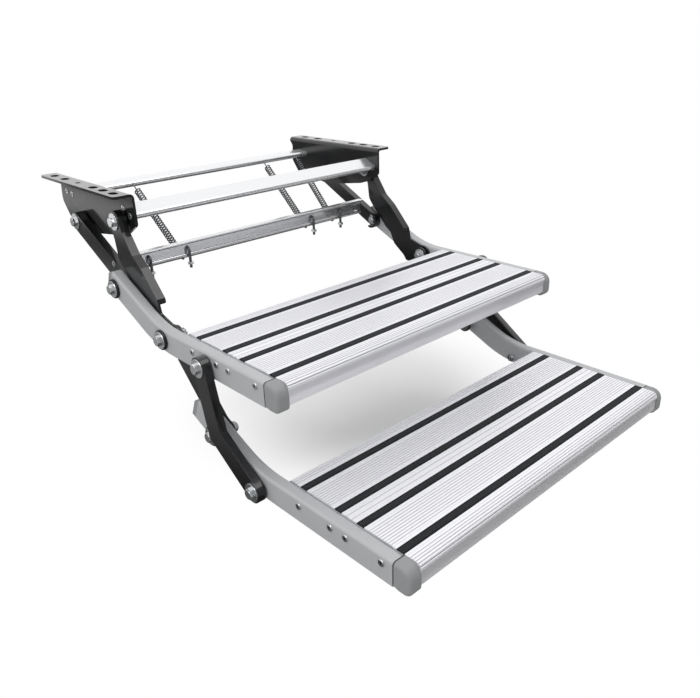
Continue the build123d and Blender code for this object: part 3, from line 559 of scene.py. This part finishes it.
class ENTRYSTEP_OT_treads(bpy.types.Operator):
    """Finishes the ribbed planks of both treads"""
    bl_idname = "entry_step.treads"
    bl_label = "Tread planks"

    def execute(self, context):
        deep = sizes().groove_deep
        for node in nodes_like("plank"):
            piece = dressed_copy(node)
            low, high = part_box(node)
            front = node.endswith("front_plank")
            nose_y, outwards = (low.y, -1) if front else (high.y, 1)
            strips = solid_boxes(node.split("_")[0] + "_grip_strips")
            valley = piece.data.attributes.new(VALLEY_LAYER, "FLOAT", "POINT")
            for vertex in piece.data.vertices:
                depth = groove_depth(vertex.co, high.z, nose_y, outwards)
                beside = min(max(a.y - vertex.co.y, vertex.co.y - b.y) for a, b in strips)
                sunk = deep * FLOOR_FROM < depth < deep * FLOOR_UNTIL
                # A groove floor away from the strips gets painted shade
                valley.data[vertex.index].value = float(sunk and beside > UNSHADED_BAND)
        return {"FINISHED"}


# Share of a ridge's pitch that each of its slopes takes
RIDGE_SLOPE = 0.18


def strip_profile(low, high, ridges, deep):
    """Corners of a grip strip's section in the side view, with low ridges along its top."""
    wide = high.y - low.y
    corners = [(high.y, low.z), (low.y, low.z), (low.y, high.z - deep)]
    pitch = wide / ridges
    for i in range(ridges):
        left = low.y + i * pitch
        corners += [(left + RIDGE_SLOPE * pitch, high.z), (left + (1 - RIDGE_SLOPE) * pitch, high.z)]
        if i < ridges - 1:
            corners.append((left + pitch, high.z - deep))
    corners.append((high.y, high.z - deep))
    return corners


class ENTRYSTEP_OT_grip_strips(bpy.types.Operator):
    """Models the ridged rubber strips of both treads"""
    bl_idname = "entry_step.grip_strips"
    bl_label = "Grip strips"

    def execute(self, context):
        for node in nodes_like("grip_strips"):
            tools = bmesh.new()
            wear_and_edge_shade = tools.verts.layers.float.new(WEAR_AND_EDGE_SHADE_LAYER)
            for low, high in solid_boxes(node):
                corners = strip_profile(low, high, sizes().strip_ridges, sizes().strip_ridge_deep)
                section = []
                for y, z in corners:
                    corner = tools.verts.new((low.x, y, z))
                    aside = abs(y - (low.y + high.y) / 2) / (high.y - low.y)
                    # The middle is scuffed paler; the edges stay black as painted shade
                    corner[wear_and_edge_shade] = 1.0 if aside < UNSHADED_WORN_SHARE / 2 else 0.0
                    section.append(corner)
                grown = bmesh.ops.extrude_face_region(tools, geom=[tools.faces.new(section)])
                moved = [v for v in grown["geom"] if isinstance(v, bmesh.types.BMVert)]
                bmesh.ops.translate(tools, verts=moved, vec=(high.x - low.x, 0, 0))
            bmesh.ops.recalc_face_normals(tools, faces=tools.faces)
            new_piece(node + "_ridged", tools, NODE_SLOTS[node], NODE_BODIES[node], node)
        return {"FINISHED"}


# A screw's cross recess reaches this far from its axis and this deep into its head, below its rim
RECESS_REACH = 2.8 * MM
RECESS_DEEP = 1.2 * MM
RIM_DEEP = 0.1 * MM


def mark_recess(piece, boxes):
    """Marks the floor of each screw's cross recess, which catches no light and is painted dark as shade."""
    floor = piece.data.attributes.new(VALLEY_LAYER, "FLOAT", "POINT")
    heads = [((a.y + b.y) / 2, (a.z + b.z) / 2, max(abs(a.x), abs(b.x))) for a, b in boxes]
    for vertex in piece.data.vertices:
        out = abs(vertex.co.x)
        floor.data[vertex.index].value = float(any(
            math.hypot(vertex.co.y - y, vertex.co.z - z) < RECESS_REACH
            and top - RECESS_DEEP < out < top - RIM_DEEP for y, z, top in heads))


class ENTRYSTEP_OT_fasteners(bpy.types.Operator):
    """Dresses bolts, nuts, screws, washers and bushes"""
    bl_idname = "entry_step.fasteners"
    bl_label = "Fasteners"

    def execute(self, context):
        for node in nodes_like("bolts", "nuts", "washers", "bushes", "spacers", "hooks"):
            dressed_copy(node, sizes().fastener_edge)
        for node in nodes_like("screws"):
            mark_recess(dressed_copy(node), solid_boxes(node))
        return {"FINISHED"}


# Springs

# In the frame a spring's wire starts WIRE_SINK deep in the rear bar. The wound one starts only WOUND_SINK
# deep, so that less of it swings through the bar, and its loop reaches LOOP_REACH further, round the eye.
WIRE_SINK = 5.0 * MM
WOUND_SINK = 1.2 * MM
LOOP_REACH = 4.6 * MM
# Faces round the wire, steps of one turn, of a bend and of the loop, and how far the loop turns
WIRE_SIDES = 8
COIL_STEPS = 12
BEND_STEPS = 4
LOOP_STEPS = 14
LOOP_TURN = math.radians(290)
# The frame's wire ends in flat caps, whose corners lie within this distance of the outermost one
CAP_REACH = 2.4 * MM


def wire_ends(node):
    """Middle of the end cap in the rear bar and of the one near the hook, of a spring in the frame."""
    corners = [v.co for v in frame["nodes"][node].data.vertices]
    ends = []
    for tip in (max(corners, key=lambda c: c.y), min(corners, key=lambda c: c.y)):
        cap = [c for c in corners if (c - tip).length < CAP_REACH and abs(c.y - tip.y) < CAP_REACH / 2]
        ends.append(sum(cap, Vector()) / len(cap))
    return ends


def wind(tools, ring, centre, axis, angle, steps, rise=0.0):
    """Turns the wire's open end about an axis, and returns the new end."""
    made = bmesh.ops.spin(tools, geom=ring, cent=centre, axis=axis, dvec=Vector(axis) * rise / steps,
                          angle=angle, steps=steps, use_merge=False, use_normal_flip=False,
                          use_duplicate=False)
    return made["geom_last"]


def edges_of(geometry):
    """The edges among a mixed list of corners, edges and faces."""
    return [g for g in geometry if isinstance(g, bmesh.types.BMEdge)]


def run_straight(tools, ring, way):
    """Draws the wire's open end out along a straight line, and returns the new end."""
    made = bmesh.ops.extrude_edge_only(tools, edges=edges_of(ring))["geom"]
    corners = [g for g in made if isinstance(g, bmesh.types.BMVert)]
    bmesh.ops.translate(tools, verts=corners, vec=way)
    return corners + [e for e in edges_of(made) if all(v in corners for v in e.verts)]


def wire_end(tools, ring):
    """Closes the wire's open end with a flat cap."""
    bmesh.ops.contextual_create(tools, geom=edges_of(ring))


def half_spring(tools, reach, looped):
    """Winds the wire from the coil's middle out along +Z: coil, turn inwards, lead, and a loop if asked."""
    size = sizes()
    radius, bend = size.coil_radius, size.lead_bend
    start = Matrix.Translation((radius, 0, 0)) @ Matrix.Rotation(math.pi / 2, 4, "X")
    corners = bmesh.ops.create_circle(tools, segments=WIRE_SIDES, radius=size.wire_radius,
                                      matrix=start)["verts"]
    ring = corners + [e for e in tools.edges if all(v in corners for v in e.verts)]
    # A smaller arc, tangent to the coil, brings the wire to the middle line's side
    inner = (radius ** 2 - bend ** 2) / (2 * radius)
    leave = math.atan2(bend, inner)
    turn = math.pi * size.coil_turns + leave
    rise = size.coil_pitch * turn / (2 * math.pi)
    ring = wind(tools, ring, (0, 0, 0), (0, 0, 1), turn, size.coil_turns * COIL_STEPS // 2, rise)
    ring = wind(tools, ring, (inner, bend, 0), (0, 0, 1), math.pi - leave, BEND_STEPS + 1)
    ring = wind(tools, ring, (0, bend, rise + bend), (-1, 0, 0), math.pi / 2, BEND_STEPS)
    if not looped:
        wire_end(tools, run_straight(tools, ring, (0, 0, reach - rise - bend)))
        return
    loop = size.loop_radius
    foot = reach - 2 * loop - bend
    ring = run_straight(tools, ring, (0, 0, foot - rise - bend))
    ring = wind(tools, ring, (bend, 0, foot), (0, 1, 0), math.pi / 2, BEND_STEPS)
    wire_end(tools, wind(tools, ring, (bend, 0, foot + bend + loop), (0, -1, 0), LOOP_TURN, LOOP_STEPS))


def spring_wire(to_bar, to_hook):
    """A whole spring about the middle of its coil, its hooked end towards +Z."""
    tools = bmesh.new()
    half_spring(tools, to_bar, False)
    bmesh.ops.rotate(tools, verts=tools.verts, cent=(0, 0, 0), matrix=Matrix.Rotation(math.pi, 3, "X"))
    half_spring(tools, to_hook, True)
    bmesh.ops.remove_doubles(tools, verts=tools.verts, dist=MERGE_DISTANCE)
    bmesh.ops.recalc_face_normals(tools, faces=tools.faces)
    return tools


class ENTRYSTEP_OT_springs(bpy.types.Operator):
    """Winds the four extension springs, with their leads and the loops in the hooks' eyes"""
    bl_idname = "entry_step.springs"
    bl_label = "Springs"

    def execute(self, context):
        size = sizes()
        for node in nodes_like("spring_1", "spring_2", "spring_3", "spring_4"):
            first, last = wire_ends(node)
            way = (last - first).normalized()
            up = way.cross(Vector((1, 0, 0))).normalized()
            pivot = first + way * WIRE_SINK
            to_middle = size.coil_start + size.coil_turns * size.coil_pitch / 2
            to_hook = (last - pivot).length + LOOP_REACH - to_middle
            tools = spring_wire(to_middle + WOUND_SINK, to_hook)
            middle = pivot + way * to_middle
            axes = Matrix((up.cross(way), up, way)).transposed().to_4x4()
            bmesh.ops.transform(tools, matrix=Matrix.Translation(middle) @ axes, verts=tools.verts)
            piece = new_piece(node + "_wound", tools, NODE_SLOTS[node], NODE_BODIES[node], node)
            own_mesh(piece)
        return {"FINISHED"}


# Stage

# The photograph's camera: place in metres, angles in degrees, lens in millimetres
CAMERA_PLACE = (-0.7087, -1.0971, 0.2102)
CAMERA_TURN = -42.35
CAMERA_DOWN = 24.45
CAMERA_ROLL = -1.77
CAMERA_LENS = 36.73
SENSOR_WIDE = 36.0
# The floor lies well below the step, so that its shadow is soft, as on a photographer's white table
FLOOR_DROP = 120.0 * MM
FLOOR_HALF = 8.0
# Disc under the step where the floor shows its own light and shadow: its middle, radius and soft rim
SHADE_MIDDLE = (0.17, -0.16)
SHADE_RADIUS = 0.15
SHADE_RIM = 0.24


def soft_box(name, place, target, wide, tall, power):
    """A lamp with a wide, evenly lit face."""
    data = bpy.data.lights.new(name, "AREA")
    data.shape = "RECTANGLE"
    data.size = wide
    data.size_y = tall
    data.energy = power
    lamp = bpy.data.objects.new(name, data)
    bpy.context.scene.collection.objects.link(lamp)
    way = Vector(target) - Vector(place)
    lamp.matrix_world = Matrix.Translation(place) @ way.to_track_quat("-Z", "Y").to_matrix().to_4x4()


def plain_white_seen(tree, rays):
    """1 for what the camera sees, straight or through glass, and 0 for light that falls on the step."""
    return combine(tree, "MAXIMUM", rays.outputs["Is Camera Ray"], rays.outputs["Is Transmission Ray"])


# The tent's brightness runs from dim to bright as TENT_LIFT times a direction's height plus TENT_BACK times
# its reach towards +Y runs from TENT_FROM to TENT_UNTIL
TENT_DIM = 0.3
TENT_BRIGHT = 1.0
TENT_LIFT = 0.8
TENT_BACK = 0.6
TENT_FROM = -0.1
TENT_UNTIL = 0.5


def white_surround(name):
    """World of a light tent: bright above and behind, dim on the near side, plain white to the camera."""
    world = bpy.data.worlds.new(name)
    world.use_nodes = True
    tree = world.node_tree
    background = tree.nodes["Background"]
    background.inputs["Color"].default_value = (1.0, 1.0, 1.0, 1.0)
    direction = add_node(tree, "ShaderNodeTexCoord").outputs["Generated"]
    parts = add_node(tree, "ShaderNodeSeparateXYZ", {}, {"Vector": direction})
    lifted = combine(tree, "MULTIPLY", parts.outputs["Z"], TENT_LIFT)
    back = combine(tree, "MULTIPLY", parts.outputs["Y"], TENT_BACK)
    tent = add_node(tree, "ShaderNodeMapRange", {"interpolation_type": "SMOOTHSTEP",
                                                 "From Min": TENT_FROM, "From Max": TENT_UNTIL,
                                                 "To Min": TENT_DIM, "To Max": TENT_BRIGHT},
                    {"Value": combine(tree, "ADD", lifted, back)}).outputs["Result"]
    seen = plain_white_seen(tree, add_node(tree, "ShaderNodeLightPath"))
    tree.links.new(mixed(tree, seen, tent, 1.0), background.inputs["Strength"])
    return world


# What gloss and metal see of the floor: painted bands of reflection on both sides of the step, in place of
# the cards on a photographer's table, as metres from the step's middle and the brightness there
MIRROR_BANDS = ((0.0, 0.05), (0.4, 0.05), (0.5, 0.28), (0.7, 0.28), (0.8, 0.04), (0.9, 0.04), (0.97, 1.0),
                (1.1, 1.0), (1.22, 0.06), (2.4, 0.06), (3.2, 0.8))
MIRROR_REACH = MIRROR_BANDS[-1][0]


def mirror_level(tree, place):
    """Painted brightness of the floor in reflections at a place on it."""
    sideways = add_node(tree, "ShaderNodeSeparateXYZ", {}, {"Vector": place}).outputs["X"]
    aside = combine(tree, "DIVIDE", combine(tree, "ABSOLUTE", sideways, 0.0), MIRROR_REACH)
    reflected = add_node(tree, "ShaderNodeValToRGB", {}, {"Fac": aside})
    ramp = reflected.color_ramp
    ramp.interpolation = "EASE"
    for metres, _ in MIRROR_BANDS[1:-1]:
        ramp.elements.new(metres / MIRROR_REACH)
    for element, (metres, brightness) in zip(ramp.elements, MIRROR_BANDS):
        element.position = metres / MIRROR_REACH
        element.color = (brightness, brightness, brightness, 1.0)
    return reflected.outputs["Color"]


def floor_sheet():
    """White floor: lit and shaded under the step, plain white further out, and with painted bands in
    reflections.
    """
    colour = tuple(colours().floor)
    material, tree, shader, place = finish_base("white floor", colour, metallic=0.0, roughness=0.9)
    shader.inputs["Specular IOR Level"].default_value = 0.0
    centred = add_node(tree, "ShaderNodeVectorMath", {"operation": "DISTANCE"})
    tree.links.new(place, centred.inputs[0])
    centred.inputs[1].default_value = (*SHADE_MIDDLE, CAD_BOX[0][2] - FLOOR_DROP)
    away = add_node(tree, "ShaderNodeMapRange", {"interpolation_type": "SMOOTHSTEP",
                                                 "From Min": SHADE_RADIUS,
                                                 "From Max": SHADE_RADIUS + SHADE_RIM},
                    {"Value": centred.outputs["Value"]}).outputs["Result"]
    rays = add_node(tree, "ShaderNodeLightPath")
    # Glossy rays see painted bands of reflection, not the floor's own light
    level = mixed(tree, rays.outputs["Is Glossy Ray"], 1.0, mirror_level(tree, place))
    glow = add_node(tree, "ShaderNodeEmission", {"Color": (1.0, 1.0, 1.0, 1.0)}, {"Strength": level})
    shown = combine(tree, "MULTIPLY", away, plain_white_seen(tree, rays))
    share = combine(tree, "MAXIMUM", shown, rays.outputs["Is Glossy Ray"])
    mix = add_node(tree, "ShaderNodeMixShader", {}, {"Fac": share})
    tree.links.new(shader.outputs["BSDF"], mix.inputs[1])
    tree.links.new(glow.outputs["Emission"], mix.inputs[2])
    tree.links.new(mix.outputs["Shader"], tree.nodes["Material Output"].inputs["Surface"])
    return material


# Soft boxes: name, place, the point each one faces, width and height in metres, and watts
SOFT_BOXES = (
    ("top soft box", (0.0, -1.2, 2.0), (0.0, -0.3, -0.2), 2.4, 1.6, 24.0),
    ("left soft box", (-2.2, -0.9, 0.5), (0.0, -0.2, -0.2), 1.6, 1.4, 8.0),
)


def lay_floor(scene):
    """Lays the floor's sheet below the step, as part of the stage."""
    tools = bmesh.new()
    bmesh.ops.create_grid(tools, x_segments=1, y_segments=1, size=FLOOR_HALF)
    bmesh.ops.translate(tools, verts=tools.verts, vec=(0, 0, CAD_BOX[0][2] - FLOOR_DROP))
    mesh = bpy.data.meshes.new("floor")
    tools.to_mesh(mesh)
    tools.free()
    floor = bpy.data.objects.new("floor", mesh)
    scene.collection.objects.link(floor)
    mesh.materials.append(floor_sheet())


def place_camera(scene):
    """Sets the camera where the photograph was taken from."""
    data = bpy.data.cameras.new("photo camera")
    data.sensor_fit = "HORIZONTAL"
    data.sensor_width = SENSOR_WIDE
    data.lens = CAMERA_LENS
    camera = bpy.data.objects.new("photo camera", data)
    scene.collection.objects.link(camera)
    turn = Matrix.Rotation(math.radians(CAMERA_TURN), 4, "Z")
    tilt = Matrix.Rotation(math.radians(90 - CAMERA_DOWN), 4, "X")
    roll = Matrix.Rotation(math.radians(CAMERA_ROLL), 4, "Z")
    camera.matrix_world = Matrix.Translation(CAMERA_PLACE) @ turn @ tilt @ roll
    scene.camera = camera


class ENTRYSTEP_OT_stage(bpy.types.Operator):
    """Lays the pale floor, sets the soft lights and the camera"""
    bl_idname = "entry_step.stage"
    bl_label = "Stage"

    def execute(self, context):
        scene = context.scene
        scene.view_settings.view_transform = "Standard"
        lay_floor(scene)
        scene.world = white_surround("light tent")
        for box in SOFT_BOXES:
            soft_box(*box)
        place_camera(scene)
        return {"FINISHED"}


OPERATORS = (
    ENTRYSTEP_OT_stage,
    ENTRYSTEP_OT_brackets,
    ENTRYSTEP_OT_links,
    ENTRYSTEP_OT_cross_bars,
    ENTRYSTEP_OT_rails,
    ENTRYSTEP_OT_treads,
    ENTRYSTEP_OT_grip_strips,
    ENTRYSTEP_OT_fasteners,
    ENTRYSTEP_OT_springs,
)


class ENTRYSTEP_PT_panel(bpy.types.Panel):
    """Lists the step's pieces in the sidebar"""
    bl_idname = "ENTRYSTEP_PT_panel"
    bl_label = "Entry Step"
    bl_space_type = "VIEW_3D"
    bl_region_type = "UI"
    bl_category = "Entry Step"

    def draw(self, context):
        for operator in OPERATORS:
            self.layout.operator(operator.bl_idname)
        for group in (context.scene.step_sizes, context.scene.step_colours):
            for name in group.bl_rna.properties.keys():
                if name not in ("rna_type", "name"):
                    self.layout.prop(group, name)


CLASSES = (StepSizes, StepColours) + OPERATORS + (ENTRYSTEP_PT_panel,)


def register():
    """Adds the operators, the panel and the scene's sizes and colours."""
    for item in CLASSES:
        bpy.utils.register_class(item)
    bpy.types.Scene.step_sizes = PointerProperty(type=StepSizes)
    bpy.types.Scene.step_colours = PointerProperty(type=StepColours)


def unregister():
    """Takes them away again."""
    del bpy.types.Scene.step_colours
    del bpy.types.Scene.step_sizes
    for item in reversed(CLASSES):
        bpy.utils.unregister_class(item)


def main():
    """Makes the whole scene."""
    register()
    for operator in OPERATORS:
        group, name = operator.bl_idname.split(".")
        getattr(getattr(bpy.ops, group), name)()


if __name__ == "__main__":
    main()
